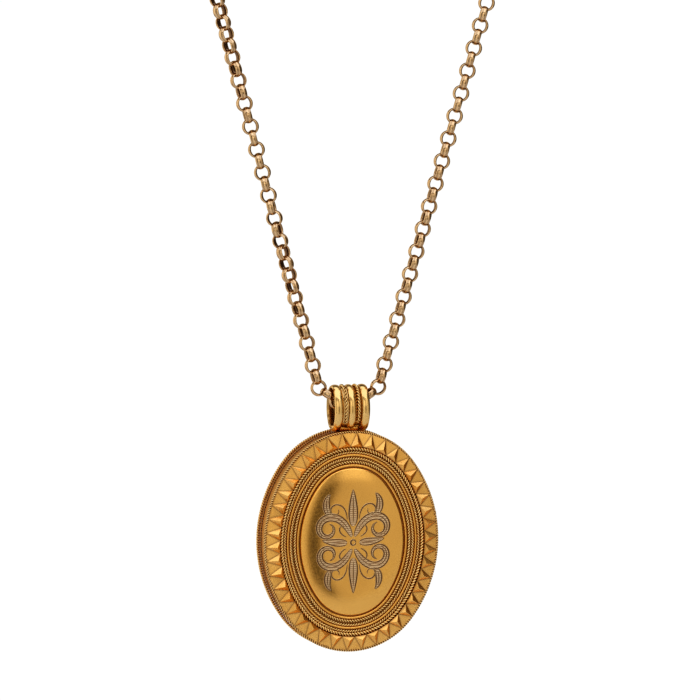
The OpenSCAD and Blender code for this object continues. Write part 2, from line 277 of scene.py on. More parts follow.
dish_inset = 6.5
dish_fall = 0.8
inside_height = -5.05
lip_top = -3.53
lip_outer = 0.85
lip_inner = 1.45
lip_soft = 0.07
wall_inset = 0.15
middle_sizes = [0, 0.3, 0.6, 0.85]
case_profile = [
    *[[dish_inset, inside_height - dish_fall, size] for size in middle_sizes],
    *[
        [inset, inside_height - fall, 1]
        for inset, fall in dished(lip_inner, dish_inset, dish_fall, 12)[::-1]
    ],
    [lip_inner, lip_top - lip_soft, 1],
    [lip_inner - lip_soft, lip_top, 1],
    [lip_outer + lip_soft, lip_top, 1],
    [lip_outer, lip_top - lip_soft, 1],
    [lip_outer, seam_height, 1],
    [wall_inset + 0.1, seam_height, 1],
    [wall_inset, seam_height - 0.08, 1],
    [wall_inset, back_height + 0.15, 1],
    [wall_inset + 0.09, back_height, 1],
    *[
        [inset, back_height - fall, 1]
        for inset, fall in dished(0.5, dish_inset, dish_fall, 14)
    ],
    *[[dish_inset, back_height - dish_fall, size] for size in middle_sizes[::-1]],
]
case_shell = swept(case_profile)
case_height = np.array(case_profile)[:, 1]
on_wall = (case_height <= seam_height) & (case_height > back_height)
# Painted shade: the wall below the seam is darkened by half, and the rest of the case by a
# quarter.
case_painted_shade = np.where(on_wall, 0.5, 0.25)
case_mesh = woven_mesh("case_shell", [case_shell], [case_painted_shade[:, None]], False)
made_piece("case_shell", case_mesh, locket_gold, "locket", ["back_case"])


def prism(name, outline, half_length, centre):
    """A mesh of an outline [forward, up] drawn out sideways both ways from its middle."""
    outline = np.asarray(outline, float)
    count = len(outline)
    ends = [
        np.column_stack([np.full(count, side * half_length), -outline[:, 0], outline[:, 1]])
        for side in (-1, 1)
    ]
    index = np.arange(count)
    after = (index + 1) % count
    sides = np.stack([index, after, after + count, index + count], -1)
    mesh = bpy.data.meshes.new(name)
    mesh.from_pydata(
        centre + mm * np.concatenate(ends),
        [],
        [*sides.tolist(), index[::-1].tolist(), (index + count).tolist()],
    )
    return mesh


def softened(piece, width, segments=2):
    """Rounds a piece's edges by a width in millimetres."""
    bevel = piece.modifiers.new("worn_edges", "BEVEL")
    bevel.width = width * mm
    bevel.segments = segments
    bevel.limit_method = "ANGLE"
    bevel.angle_limit = math.radians(12)
    bevel.harden_normals = True
    piece.data.shade_smooth()


lug_half = 1.7
lug_round = 0.58
lug_pin = np.array([-2.4, 21.19])
lug_back = -5.5
lug_front = -4.9
lug_foot = 19.84
lug_top = 21.64
lug_under = 21.09
barrel = np.radians(np.linspace(130, -90, 17))
lug_outline = [
    [lug_back, lug_foot],
    [lug_back, lug_top],
    [lug_pin[0] - 0.37, lug_top],
    *(lug_pin + lug_round * np.column_stack([np.cos(barrel), np.sin(barrel)])),
    [lug_pin[0] - 0.2, lug_under],
    [lug_front, lug_under],
    [lug_front, lug_foot],
]
lug_mesh = prism("bail_lug", lug_outline, lug_half, locket_place)
lug = made_piece("bail_lug", lug_mesh, locket_gold, "locket", ["back_case"])
softened(lug, 0.08)


# Hinge: three knuckles of drawn tube at the right of the seam, the outer two soldered to the
# case and the middle one to the cover, on a plain pin whose ends are filed flush.
knuckle_radius = 0.85
knuckle_bore = 0.44
knuckle_soft = 0.09


def knuckle(middle, length):
    """A tube's wall carried round the pin: a closed profile of [radius, height] rows."""
    half = length / 2
    profile = np.array([
        [knuckle_bore, -half],
        [knuckle_radius - knuckle_soft, -half],
        [knuckle_radius, knuckle_soft - half],
        [knuckle_radius, -0.1 * half],
        [knuckle_radius, 0.1 * half],
        [knuckle_radius, half - knuckle_soft],
        [knuckle_radius - knuckle_soft, half],
        [knuckle_bore, half],
    ])
    angle = np.linspace(0, 2 * math.pi, 40, endpoint=False)
    radius = profile[:, 0, None]
    height = middle + profile[:, 1, None] + 0 * angle
    grid = np.stack([radius * np.cos(angle), radius * np.sin(angle), height], -1)
    return pivots["cover_hinge"] + mm * grid


case_knuckles = [knuckle(middle, 2.7) for middle in (-3.15, 3.15)]
hinge_mesh = woven_mesh("case_knuckles", case_knuckles, [0.0, 0.0], True)
made_piece("case_knuckles", hinge_mesh, locket_gold, "locket", ["back_case"])
cover_knuckle = woven_mesh("cover_knuckle", [knuckle(0, 3.5)], [0.0], True)
made_piece("cover_knuckle", cover_knuckle, locket_gold, "cover", ["front_cover"])


# Cover: the front half, a sheet with a smooth band of wall that meets the case at the seam.
# The border, the ropes and the wires are soldered to its face. Its painted shade deepens down
# the wall towards the seam, and it is darkest between the ropes, where shade falls.
floor_height = -0.1
ceiling_height = -0.7
cover_edge = -4.63
wall_inner = 0.75
middle_inset = 9
border_end = 2
cover_profile = [
    *[[middle_inset, ceiling_height, size] for size in (0, 0.5, 1)],
    [wall_inner + 0.1, ceiling_height, 1],
    [wall_inner, ceiling_height - 0.1, 1],
    [wall_inner, cover_edge, 1],
    [wall_inset + 0.08, cover_edge, 1],
    *[[wall_inset, height, 1] for height in (cover_edge + 0.08, -3.5, -2.5, -1.5, -0.6)],
    [0.1, -0.3, 1],
    [0.05, floor_height, 1],
    *[[inset, floor_height, 1] for inset in (2.5, 2.75, 4, 5, 6.3, 6.5, 7.5)],
    *[[middle_inset, floor_height, size] for size in (1, 0.5, 0)],
]
cover_shell = swept(cover_profile)
cover_inset, cover_height, _ = np.transpose(cover_profile)
between_ropes = (cover_height == floor_height) & (cover_inset > border_end)
# Painted shade: darker down the wall towards the seam, and darkest on the floor between the
# ropes.
wall_painted_shade = np.clip(-0.3 * cover_height - 0.35, 0.05, 0.6)
cover_painted_shade = np.select([between_ropes, cover_height < -0.5], [0.85, wall_painted_shade])
cover_mesh = woven_mesh("cover_shell", [cover_shell], [cover_painted_shade[:, None]], False)
made_piece("cover_shell", cover_mesh, locket_gold, "cover", ["front_cover"])


# Border: forty-two small pyramids chased side by side from one strip of sheet. Their tips lean
# inwards, and flat triangles run out between them to the edge. Each facet is beaten a little
# hollow or full, no two quite alike, and painted shade lies along their feet.
pyramids = 42
band = 2.6
phase = 0.34
tip_place = 0.74
tip_height = 1.3
valley_height = 0.56
strip_foot = -0.4
tip_shift = 0.0007
tip_wander = 0.05
beat_depth = 0.012
hand_work = np.random.default_rng(11)
number = np.arange(pyramids)
unevenness = hand_work.normal(0, 1, (4, pyramids))


def on_border(part, inset, height):
    """Points of the strip: `inset` in from its outer edge, at parts of its inner curve."""
    points, outward = round_the_oval(locket_oval, band, part)
    return on_locket(points + (band - inset)[..., None] * outward, height)


even = np.ones(pyramids)
start = (number + phase) / pyramids
between = start + 0.5 / pyramids
tip_part = start + tip_shift * unevenness[0]
tip_inset = tip_place * band + tip_wander * unevenness[1]
foot, brim, tip, valley, valley_foot = range(5)
border_points = np.stack([
    on_border(start, 0 * even, strip_foot * even),
    on_border(start, 0 * even, 0 * even),
    on_border(tip_part, tip_inset, tip_height + tip_wander * unevenness[2]),
    on_border(between, band * even, valley_height + tip_wander * unevenness[3]),
    on_border(between, band * even, strip_foot * even),
], 1)
kinds = border_points.shape[1]
own = kinds * number
after = kinds * ((number + 1) % pyramids)
before = kinds * ((number - 1) % pyramids)


def below_diagonal(size):
    """The rows and columns of the places in a square table whose sum is less than `size`."""
    return np.nonzero(np.add.outer(np.arange(size), np.arange(size)) < size)


cells = 10
first, second = below_diagonal(cells + 1)
cell_shares = np.column_stack([first, second, cells - first - second]) / cells
cell_number = np.zeros((cells + 1, cells + 1), int)
cell_number[first, second] = np.arange(len(first))


def cell_corners(places, steps):
    """The numbers of the facet's points that lie at the given steps from each place."""
    return np.stack([cell_number[places[0] + i, places[1] + j] for i, j in steps], -1)


cell_faces = np.concatenate([
    cell_corners(below_diagonal(cells), [(0, 0), (1, 0), (0, 1)]),
    cell_corners(below_diagonal(cells - 1), [(1, 0), (1, 1), (0, 1)]),
])


def chased(corners, away, hollow, reach=0.11):
    """Facets beaten by hand, as points and their painted shade. A facet is its three corners in
    all mixtures of tenths, moved along its normal by `hollow` millimetres times the product of
    the shares, which is 1/27 in the middle and is brought to 1. It is darkened with painted shade
    where the least share of the corners named in `away` is less than `reach`."""
    places = border_points.reshape(-1, 3)[np.stack(corners, 1)]
    normal = np.cross(places[:, 1] - places[:, 0], places[:, 2] - places[:, 0])
    normal /= np.linalg.norm(normal, axis=1, keepdims=True)
    dent = 27 * mm * hollow[:, None] * cell_shares.prod(1)
    points = cell_shares @ places + dent[..., None] * normal[:, None]
    dark = 0.65 * np.clip(1 - cell_shares[:, away].min(1) / reach, 0, 1)
    return points, np.broadcast_to(dark, points.shape[:2])


beaten = hand_work.normal(0, beat_depth, (4, pyramids))
unbeaten = np.zeros(pyramids)
facets = [
    chased([own + brim, after + brim, own + valley], [0, 1], beaten[0]),
    chased([own + brim, own + valley, own + tip], [2], beaten[1]),
    chased([own + brim, own + tip, before + valley], [1], beaten[2]),
    chased([own + tip, own + valley, before + valley], [0], beaten[3], reach=0.4),
]
strip_sides = [
    [own + foot, before + valley_foot, own + valley_foot],
    [own + foot, own + valley_foot, after + foot],
    [own + brim, own + foot, after + foot],
    [own + brim, after + foot, after + brim],
    [before + valley, own + valley, own + valley_foot],
    [before + valley, own + valley_foot, before + valley_foot],
]
facets += [chased(corners, [0, 1, 2], unbeaten) for corners in strip_sides]
facet_points = np.concatenate([points for points, _ in facets])
faces = len(cell_shares) * np.arange(len(facet_points))[:, None, None] + cell_faces
border_mesh = bpy.data.meshes.new("pyramid_border")
border_mesh.from_pydata(facet_points.reshape(-1, 3), [], faces.reshape(-1, 3).tolist())
mark_grooves(border_mesh, np.concatenate([dark for _, dark in facets]))
border_gold = fine_gold(
    "chased_gold",
    colour=(0.97, 0.6, 0.2),
    warm=(0.92, 0.54, 0.16),
    deep=(0.3, 0.15, 0.05),
    roughness=0.27,
    mottle=420,
    grain=3200,
    tooth=0.02,
)
border = made_piece(
    "pyramid_border", border_mesh, border_gold, "cover", ["front_cover"]
)
softened(border, 0.07)


# Ropes and wires: pairs of fine wires twisted together, laid with opposite twists side by side
# so that each pair reads as a plait, with a plain wire inside each pair.
strand_sides = 8
steps_per_turn = 10
strand_turn = np.linspace(0, 2 * math.pi, strand_sides, endpoint=False)


def rope_strands(centre, outward, upward, turns, radius, shade_reach, closed=True):
    """Two wires wound round a line. A wire's middle goes round the line at half the rope's
    radius, and its circle stands square to its own direction. The last number (to 1) is how far
    up a wire's side its painted shade reaches. An open rope's wires are drawn to a point at their
    ends."""
    count = len(centre)
    along = np.arange(count) / (count if closed else count - 1)
    thick = np.ones(count)
    if not closed:
        thick[[0, -1]] = 0
    reach = radius / 2 * mm
    grids = []
    for strand in (0, 1):
        angle = (2 * math.pi * turns * along + math.pi * strand)[:, None]
        radial = outward * np.cos(angle) + upward * np.sin(angle)
        middle = centre + reach * radial
        if closed:
            ahead = np.roll(middle, -1, 0) - np.roll(middle, 1, 0)
        else:
            ahead = np.gradient(middle, axis=0)
        ahead /= np.linalg.norm(ahead, axis=1, keepdims=True)
        beside = np.cross(ahead, radial)
        circle = (
            radial[:, None] * np.cos(strand_turn)[None, :, None]
            + beside[:, None] * np.sin(strand_turn)[None, :, None]
        )
        grids.append(middle[:, None] + reach * thick[:, None, None] * circle)
    # Painted shade on each wire's side that faces the rope's middle, where the wires meet.
    depth = np.clip(shade_reach - np.cos(strand_turn / 2) ** 2, 0, 0.75) / 0.75
    return grids, [depth[None, :]] * 2


def locket_rope(inset, height, radius, bead, hand, shade_reach):
    """A rope soldered along one of the locket's ovals, with a bead about every `bead` mm. It is
    twisted to the right where `hand` is 1, and to the left where it is -1."""
    turns = round(oval_length(locket_oval, inset) / (2 * bead))
    steps = steps_per_turn * turns
    points, outward = round_the_oval(locket_oval, inset, np.arange(steps) / steps)
    outward = np.stack([outward[:, 0], 0 * outward[:, 0], outward[:, 1]], -1)
    towards_viewer = np.array([0.0, -1, 0])
    centre = on_locket(points, height)
    return rope_strands(centre, outward, towards_viewer, hand * turns, radius, shade_reach)


def rope_piece(name, ropes, body, node, material, closed=True):
    """One object of several ropes."""
    grids = [grid for strands, _ in ropes for grid in strands]
    depths = [depth for _, grooves in ropes for depth in grooves]
    mesh = woven_mesh(name, grids, depths, closed)
    made_piece(name, mesh, material, body, [node])


rope_gold = fine_gold(
    "rope_gold",
    colour=(0.98, 0.73, 0.35),
    warm=(0.96, 0.66, 0.28),
    deep=(0.34, 0.18, 0.07),
    roughness=0.22,
    mottle=500,
    grain=3000,
)
# The rim ropes' deep colour is near black, for the painted shade between their wires.
rim_gold = fine_gold(
    "rim_gold",
    colour=(0.97, 0.68, 0.33),
    warm=(0.93, 0.61, 0.27),
    deep=(0.1, 0.045, 0.02),
    roughness=0.24,
    mottle=500,
    grain=3000,
    coat=0.0,
)
rope_height = floor_height + 0.16
outer_ropes = [
    locket_rope(inset=2.99, height=rope_height + 0.12, radius=0.39, bead=0.56, hand=1, shade_reach=0.55),
    locket_rope(inset=3.63, height=rope_height, radius=0.27, bead=0.5, hand=-1, shade_reach=0.65),
]
inner_ropes = [
    locket_rope(inset=4.8, height=rope_height, radius=0.28, bead=0.5, hand=-1, shade_reach=0.65),
    locket_rope(inset=5.5, height=rope_height, radius=0.31, bead=0.52, hand=1, shade_reach=0.65),
]
front_rim = locket_rope(inset=-0.1, height=-0.24, radius=0.28, bead=0.46, hand=1, shade_reach=0.85)
back_rim = locket_rope(inset=-0.15, height=-5.3, radius=0.3, bead=0.46, hand=-1, shade_reach=0.8)
rope_piece("outer_ropes", outer_ropes, "cover", "front_cover", rope_gold)
rope_piece("inner_ropes", inner_ropes, "cover", "front_cover", rope_gold)
rope_piece("front_rim_rope", [front_rim], "cover", "front_cover", rim_gold)
rope_piece("back_rim_rope", [back_rim], "locket", "back_case", rim_gold)

wire_sides = 16
wire_height = floor_height + 0.13
wire_turn = np.linspace(0, 2 * math.pi, wire_sides, endpoint=False)
plain_wires = [
    swept(np.column_stack([
        inset + radius * np.cos(wire_turn),
        wire_height + radius * np.sin(wire_turn),
        np.ones(wire_sides),
    ]))
    for inset, radius in ((4.2, 0.24), (6.13, 0.26))
]
wire_mesh = woven_mesh("plain_wires", plain_wires, [0.0, 0.0], True)
made_piece("plain_wires", wire_mesh, locket_gold, "cover", ["front_cover"])


# Plaque: a thicker oval of gold, gently domed and rubbed to a satin face. It is set inside the
# innermost wire, and the corner between its side and its face is worn round.
plaque_inset = 6.6
plaque_edge = 0.3
plaque_bottom = floor_height + 0.05
dome_reach = 5
dome_power = 2.15


def inside_plaque(flat):
    """How far points lie inside the plaque's edge: the arc's radius less the distance from
    the centre of the arc that faces them. The arcs meet on the 3-4-5 triangle's long side."""
    end, side, up, across = locket_oval
    x, y = np.abs(flat[..., 0]), np.abs(flat[..., 1])
    to_end = end - plaque_inset - np.hypot(x, y - up)
    to_side = side - plaque_inset - np.hypot(x + across, y)
    faces_end = (y - up) * math.cos(meeting_angle) > x * math.sin(meeting_angle)
    return np.where(faces_end, to_end, to_side)


def plaque_height(flat):
    """The dome: it rises from the edge to the crown over `dome_reach`, ever less steeply, by
    one less the share still to go raised to `dome_power`."""
    share = np.clip(inside_plaque(flat) / dome_reach, 0, 1)
    return plaque_edge + (plaque_crown - plaque_edge) * (1 - (1 - share) ** dome_power)


plaque_columns = 256
plaque_part = np.arange(plaque_columns) / plaque_columns
plaque_rim, outward = round_the_oval(locket_oval, plaque_inset, plaque_part)
side_rows = [[0, plaque_bottom], [0, 0.12], [0.03, 0.2], [0.09, 0.27]]
face_sizes = 1 - np.linspace(0.012, 1, 60)
face_flat = plaque_rim * face_sizes[:, None, None]
plaque_grid = np.concatenate([
    on_locket(0 * plaque_rim[None], plaque_bottom),
    *[on_locket((plaque_rim - step * outward)[None], height) for step, height in side_rows],
    on_locket(face_flat, plaque_height(face_flat)),
])
plaque_gold = fine_gold(
    "satin_gold",
    colour=(0.96, 0.59, 0.185),
    warm=(0.94, 0.56, 0.165),
    deep=(0.36, 0.2, 0.08),
    roughness=0.17,
    mottle=120,
    grain=4200,
    tooth=0.03,
)
plaque_mesh = woven_mesh("plaque", [plaque_grid], [0.0], False)
made_piece("plaque", plaque_mesh, plaque_gold, "cover", ["centre_plaque"])


# Engraving: a mirrored spray of scrolls and leaves, cut with a graver. Every cut throws up a
# bright burr at each side, and the scrolls and leaves are shaded with fine level cuts.
def stem_curve(start, heading, length, bend_start, bend_end, count):
    """A line whose bend per millimetre changes evenly from its start to its end, with the
    directions along it: the heading is the start's plus the bend summed over the length."""
    way = np.linspace(0, length, count)
    bent = bend_start * way + (bend_end - bend_start) * way ** 2 / (2 * length)
    angle = math.radians(heading) + bent
    along = np.column_stack([np.cos(angle), np.sin(angle)])
    steps = (along[1:] + along[:-1]) / 2 * (length / (count - 1))
    return np.vstack([[start], start + np.cumsum(steps, 0)]), along


def on_plaque(flat, lift):
    """Places at a lift over the plaque's dome."""
    return on_locket(flat, plaque_height(flat) + lift)


def square_to(along):
    """The directions a quarter turn left of those along a line."""
    return np.column_stack([-along[:, 1], along[:, 0]])


# A cut's section: places across it in half widths, lifts in millimetres, and painted shade,
# darkest down the groove.
cut_across = np.array([-1, -0.62, -0.4, 0, 0.4, 0.62, 1, 0])[:, None]
cut_lift = np.array([-0.02, 0.06, 0.036, 0.03, 0.036, 0.06, -0.02, -0.04])[:, None]
cut_painted_shade = np.array([0.5, 0.0, 1.0, 1.0, 1.0, 0.0, 0.5, 0.0])[:, None]


def graver_cut(points, along, width):
    """One cut: two burrs with a groove between, sunk at the rims and closed underneath. Its
    width swells and runs out as a power of the sine of half a turn times the share along it."""
    share = np.linspace(0, 1, len(points))
    swell = np.sin(math.pi * share) ** 0.35
    swell[[0, -1]] = 0
    across = cut_across * width / 2 * swell
    flat = points + across[..., None] * square_to(along)
    return on_plaque(flat, cut_lift * np.minimum(1, 2 * swell))


shading_pitch = 0.4
cut_step = 0.2
edge_cut = 0.44
rib_cut = 0.3
leaf_across = np.concatenate([[-1], np.linspace(-0.94, 0.94, 15), [1, 0]])[:, None]


def shaded_leaf(points, along, half):
    """A leaf's face, closed underneath: level ridges over the dome, as the cosine of the turns
    of `shading_pitch` up the plaque with a slow drift across it, between rims sunk in it."""
    flat = points + (leaf_across * half)[..., None] * square_to(along)
    drift = 0.5 * np.sin(1.1 * flat[..., 0])
    ridge = np.cos(2 * math.pi * flat[..., 1] / shading_pitch + drift)
    rim = np.abs(leaf_across) > 0.97
    lift = np.where(rim, -0.02, 0.015 + 0.015 * ridge)
    lift[-1] = -0.05
    # Painted shade: dark in the troughs between the ridges, and half dark at the sunk rims.
    groove = np.where(rim, 0.5, 0.5 - 0.5 * ridge)
    return on_plaque(flat, lift * np.minimum(1, half / 0.1)), groove


def leaf(start, heading, length, bend_start, bend_end, width, peak):
    """A leaf's or a scroll's shaded face, and the two long cuts that bound it with its midrib.
    Half its width is `width` times a power of the sine of half a turn times the share along it
    to the power `peak`. The cuts take every third row of the face."""
    rows = 3 * round(length / cut_step) + 1
    points, along = stem_curve(start, heading, length, bend_start, bend_end, rows)
    half = width * np.sin(math.pi * np.linspace(0, 1, rows) ** peak) ** 0.8
    half[-1] = 0
    face, groove = shaded_leaf(points, along, half)
    leaf_cuts = []
    for side in (-1, 1):
        edge_line = (points + side * half[:, None] * square_to(along))[::3]
        ahead = np.gradient(edge_line, axis=0)
        ahead /= np.linalg.norm(ahead, axis=1, keepdims=True)
        leaf_cuts.append(graver_cut(edge_line, ahead, edge_cut))
    rib = slice(rows // 12, rows * 5 // 6, 3)
    leaf_cuts.append(graver_cut(points[rib], along[rib], rib_cut))
    return face, groove, leaf_cuts


def mirrored_pair(x, y, heading, length, bend_start, bend_end, *rest):
    """The same stem or leaf at the right and, with its place and bends mirrored, at the left."""
    return [
        ((x, y), heading, length, bend_start, bend_end, *rest),
        ((-x, y), 180 - heading, length, -bend_start, -bend_end, *rest),
    ]


# Each leaf: its start, heading, length, bends at its start and end, half width and peak.
leaves = [
    ((0, 3.0), 90, 7.0, 0, 0, 0.82, 0.62),
    ((0, -2.9), -90, 6.8, 0, 0, 0.78, 0.62),
    *mirrored_pair(0.25, 1.0, 66, 15.5, -0.02, -0.92, 0.64, 0.6),
    *mirrored_pair(0.25, -1.2, -62, 15.0, 0.03, 0.94, 0.62, 0.6),
    *mirrored_pair(1.15, -0.1, 4, 5.0, -0.02, 0.12, 0.62, 0.62),
    *mirrored_pair(4.7, 5.15, 66, 4.4, 0.1, 0.5, 0.58, 0.7),
    *mirrored_pair(4.6, -5.15, -68, 4.2, -0.1, -0.5, 0.56, 0.7),
]
leaf_faces, leaf_grooves, cuts = [], [], []
for one_leaf in leaves:
    face, groove, leaf_cuts = leaf(*one_leaf)
    leaf_faces.append(face)
    leaf_grooves.append(groove)
    cuts.extend(leaf_cuts)

# Each tendril is one cut: its start, heading, length, bends at its start and end, and width.
tendrils = [
    *mirrored_pair(1.15, 4.2, 84, 8.8, -0.02, -1.55, 0.4),
    *mirrored_pair(1.15, -4.1, -84, 8.4, 0.02, 1.6, 0.4),
    *mirrored_pair(1.35, 1.0, 30, 3.4, -0.1, 1.9, 0.36),
    *mirrored_pair(1.35, -1.1, -30, 3.4, 0.1, -1.9, 0.36),
    ((0.5, -0.05), 90, math.pi, 2, 2, 0.44),
]
for start, heading, length, bend_start, bend_end, width in tendrils:
    points, along = stem_curve(start, heading, length, bend_start, bend_end, 60)
    cuts.append(graver_cut(points, along, width))

shaded_gold = fine_gold(
    "shaded_gold",
    colour=(0.98, 0.77, 0.5),
    warm=(0.94, 0.69, 0.41),
    deep=(0.5, 0.31, 0.165),
    roughness=0.3,
    mottle=600,
    grain=4000,
)
shading_mesh = woven_mesh("leaf_shading", leaf_faces, leaf_grooves, True, False)
made_piece("leaf_shading", shading_mesh, shaded_gold, "cover", ["centre_plaque"])
cut_gold = fine_gold(
    "cut_gold",
    colour=(0.98, 0.78, 0.46),
    warm=(0.94, 0.7, 0.38),
    deep=(0.24, 0.115, 0.045),
    roughness=0.2,
    mottle=600,
    grain=4000,
)
cuts_mesh = woven_mesh("graver_cuts", cuts, [cut_painted_shade] * len(cuts), True, False)
made_piece("graver_cuts", cuts_mesh, cut_gold, "cover", ["centre_plaque"])


# Bail: a hoop of three domed bands with a rope in each of the two grooves, on a thin inner
# sheet. The outer bands go round the pin, and the middle one stops above the lug.
bail_half_depth = 3.35
bail_half_height = 4.4
foot_radius = 0.58
bail_oval = four_arc_oval(bail_half_depth, bail_half_height)
bail_place = pivots["bail_hinge"] + np.array([0, 0, (bail_half_height - foot_radius) * mm])
sideways = np.array([1.0, 0, 0])
outer_band_half = 0.8
outer_band_place = 2.6
middle_band_half = 0.72
band_rise = 0.48
band_corner = -0.54
band_back = -0.6
band_soft = 0.08


def round_the_bail(part):
    """Points and outward directions of the hoop, from its top towards the front."""
    points, outward = round_the_oval(bail_oval, 0, part)
    flat = [np.stack([0 * v[:, 0], -v[:, 0], v[:, 1]], -1) for v in (points, outward)]
    return bail_place + mm * flat[0], flat[1]


def hoop(profile, part, sizes=None):
    """A closed profile of [outward, sideways] rows carried along the hoop. `sizes` draws the
    profile in towards its middle, which rounds off and closes an open hoop's ends."""
    profile = np.asarray(profile, float)
    points, outward = round_the_bail(part)
    middle = profile.mean(0)
    sizes = np.ones(len(part)) if sizes is None else sizes
    drawn = mm * (middle + sizes[:, None, None] * (profile - middle))
    return points[:, None] + drawn[..., :1] * outward[:, None] + drawn[..., 1:] * sideways


def domed_band(middle, half):
    """A band's section: a half-round outside and a flat inside with soft corners."""
    angle = np.linspace(0, math.pi, 19)
    top = np.column_stack([band_rise * (np.sin(angle) - 1), middle - half * np.cos(angle)])
    inside = [
        [band_corner, middle + half],
        [band_back, middle + half - band_soft],
        [band_back, middle - half + band_soft],
        [band_corner, middle - half],
    ]
    return [*top, *inside]


bail_gold = fine_gold(
    "bail_gold",
    colour=(0.96, 0.67, 0.3),
    warm=(0.92, 0.61, 0.24),
    deep=(0.24, 0.15, 0.065),
    roughness=0.17,
    mottle=260,
    grain=1800,
    tooth=0.02,
)


def band_painted_shade(left, right):
    """A band's painted shade: `left` and `right` at its flanks, none on top, and half dark
    inside.
    """
    flank = np.linspace(-1, 1, 19)
    return np.concatenate([np.where(flank < 0, left, right) * flank ** 8, [0.5] * 4])[None, :]


loop_part = np.arange(120) / 120
outer_bands = [
    hoop(domed_band(side * outer_band_place, outer_band_half), loop_part) for side in (-1, 1)
]
outer_painted_shade = [band_painted_shade(0.0, 0.8), band_painted_shade(0.8, 0.2)]
bands_mesh = woven_mesh("bail_outer_bands", outer_bands, outer_painted_shade, True)
made_piece("bail_outer_bands", bands_mesh, bail_gold, "bail", ["bail"])

back_stop = -0.32
front_stop = 0.408
end_turn = np.linspace(0, math.pi / 2, 8)
end_step = 0.022 * np.cos(end_turn)
run = np.linspace(back_stop, front_stop, 90)[1:-1]
open_part = np.concatenate([back_stop - end_step, run, front_stop + end_step[::-1]])
open_sizes = np.concatenate([np.sin(end_turn), np.ones(len(run)), np.sin(end_turn)[::-1]])
middle_band = hoop(domed_band(0, middle_band_half), open_part, open_sizes)

sheet_half = 2.7
sheet_top = -0.44
sheet_under = -0.59
sheet_run = np.linspace(-0.31, 0.4, 90)
sheet_part = np.concatenate([sheet_run[:1], sheet_run, sheet_run[-1:]])
sheet_sizes = np.concatenate([[0], np.ones(len(sheet_run)), [0]])
sheet_profile = [
    [sheet_top, -sheet_half],
    [sheet_top, sheet_half],
    [sheet_under, sheet_half],
    [sheet_under, -sheet_half],
]
inner_sheet = hoop(sheet_profile, sheet_part, sheet_sizes)
# Painted shade: the middle band's flanks are darkened, and the inner sheet inside the hoop by
# four tenths.
for name, grid, groove in (
    ("bail_middle_band", middle_band, band_painted_shade(0.8, 0.8)),
    ("bail_inner_sheet", inner_sheet, 0.4),
):
    band_mesh = woven_mesh(name, [grid], [groove], False)
    made_piece(name, band_mesh, bail_gold, "bail", ["bail"])

foot_bore = 0.34
foot_half = 0.72
foot_soft = 0.08
foot_angle = np.linspace(0, 2 * math.pi, 36, endpoint=False)


def bail_foot(side):
    """The tube of an outer band round the pin: rows of [radius, sideways] carried round it."""
    rows = np.array([
        [foot_bore, -foot_half],
        [foot_radius - foot_soft, -foot_half],
        [foot_radius, foot_soft - foot_half],
        [foot_radius, foot_half - foot_soft],
        [foot_radius - foot_soft, foot_half],
        [foot_bore, foot_half],
    ])
    across = side * outer_band_place + rows[:, 1, None] + 0 * foot_angle
    radius = rows[:, 0, None]
    grid = np.stack([across, radius * np.cos(foot_angle), radius * np.sin(foot_angle)], -1)
    return pivots["bail_hinge"] + mm * grid


feet_mesh = woven_mesh("bail_feet", [bail_foot(side) for side in (-1, 1)], [0.0, 0.0], True)
made_piece("bail_feet", feet_mesh, bail_gold, "bail", ["bail"])

bail_rope_place = 1.26
bail_rope_sink = 0.22
bail_rope_turns = 12.5
rope_points, rope_outward = round_the_bail(np.linspace(-0.32, 0.365, 160))
bail_ropes = [
    rope_strands(
        rope_points + mm * (side * bail_rope_place * sideways - bail_rope_sink * rope_outward),
        rope_outward, sideways, side * bail_rope_turns, radius=0.3, shade_reach=0.75, closed=False,
    )
    for side in (-1, 1)
]
rope_piece("bail_ropes", bail_ropes, "bail", "bail", rope_gold, closed=False)


# Chain: round belcher links of crowned band, each closed through the last, in a redder gold.
# It runs from the link inside the bail up two strands, back over the shoulders and round. A
# link's wall is heavier at its sides, where no neighbour bears on it.
pitch = 2.2
link_outer = 1.54
link_wall = 0.33
side_links = 103
strand_slope = math.radians(15.7)
first_corner = math.radians(35)
neck_turn = math.radians(125)
neck_tilt = math.radians(30)
chain_lean = math.radians(0.75)
shoulder_radius = 30
clasp_radius = 3.2
clasp_tube = 0.6
clasp_play = 0.14
clasp_reach = clasp_radius - clasp_tube - clasp_play + link_outer - link_wall


def turned(v, axis, angle):
    """A vector turned about an axis: the parts along, in and square to the turn's plane."""
    c, s = math.cos(angle), math.sin(angle)
    return v * c + np.cross(axis, v) * s + axis * (axis @ v) * (1 - c)


def chain_moves():
    """The strand's moves from the bail to the nape: a length, a turn in radians and its axis.
    The neck's radius is the one that brings the strand to the middle of the nape."""
    up = np.array([math.sin(strand_slope), 0, math.cos(strand_slope)])
    back = np.array([
        -math.cos(neck_turn),
        math.sin(neck_turn) * math.cos(neck_tilt),
        math.sin(neck_turn) * math.sin(neck_tilt),
    ])
    shoulder_turn = math.acos(up @ back)
    shoulder_length = shoulder_radius * shoulder_turn
    shoulder_step = shoulder_radius * math.tan(shoulder_turn / 2) * (up + back)
    corner_x = pitch * (1 + 2 * math.cos(first_corner))
    free = side_links * pitch + clasp_reach - 3 * pitch - shoulder_length
    neck_radius = (corner_x + math.sin(strand_slope) * free + shoulder_step[0]) / (
        math.sin(neck_turn) + math.sin(strand_slope) * neck_turn
    )
    neck_length = neck_radius * neck_turn
    over = np.cross(up, back)
    round_neck = np.cross(back, [-1, 0, 0])
    down = np.array([0.0, -1, 0])
    return [
        (pitch, 0, down),
        (0, first_corner, down),
        (2 * pitch, 0, down),
        (0, math.pi / 2 - strand_slope - first_corner, down),
        (free - neck_length, 0, down),
        (shoulder_length, shoulder_turn, over / np.linalg.norm(over)),
        (neck_length, neck_turn, round_neck / np.linalg.norm(round_neck)),
    ]


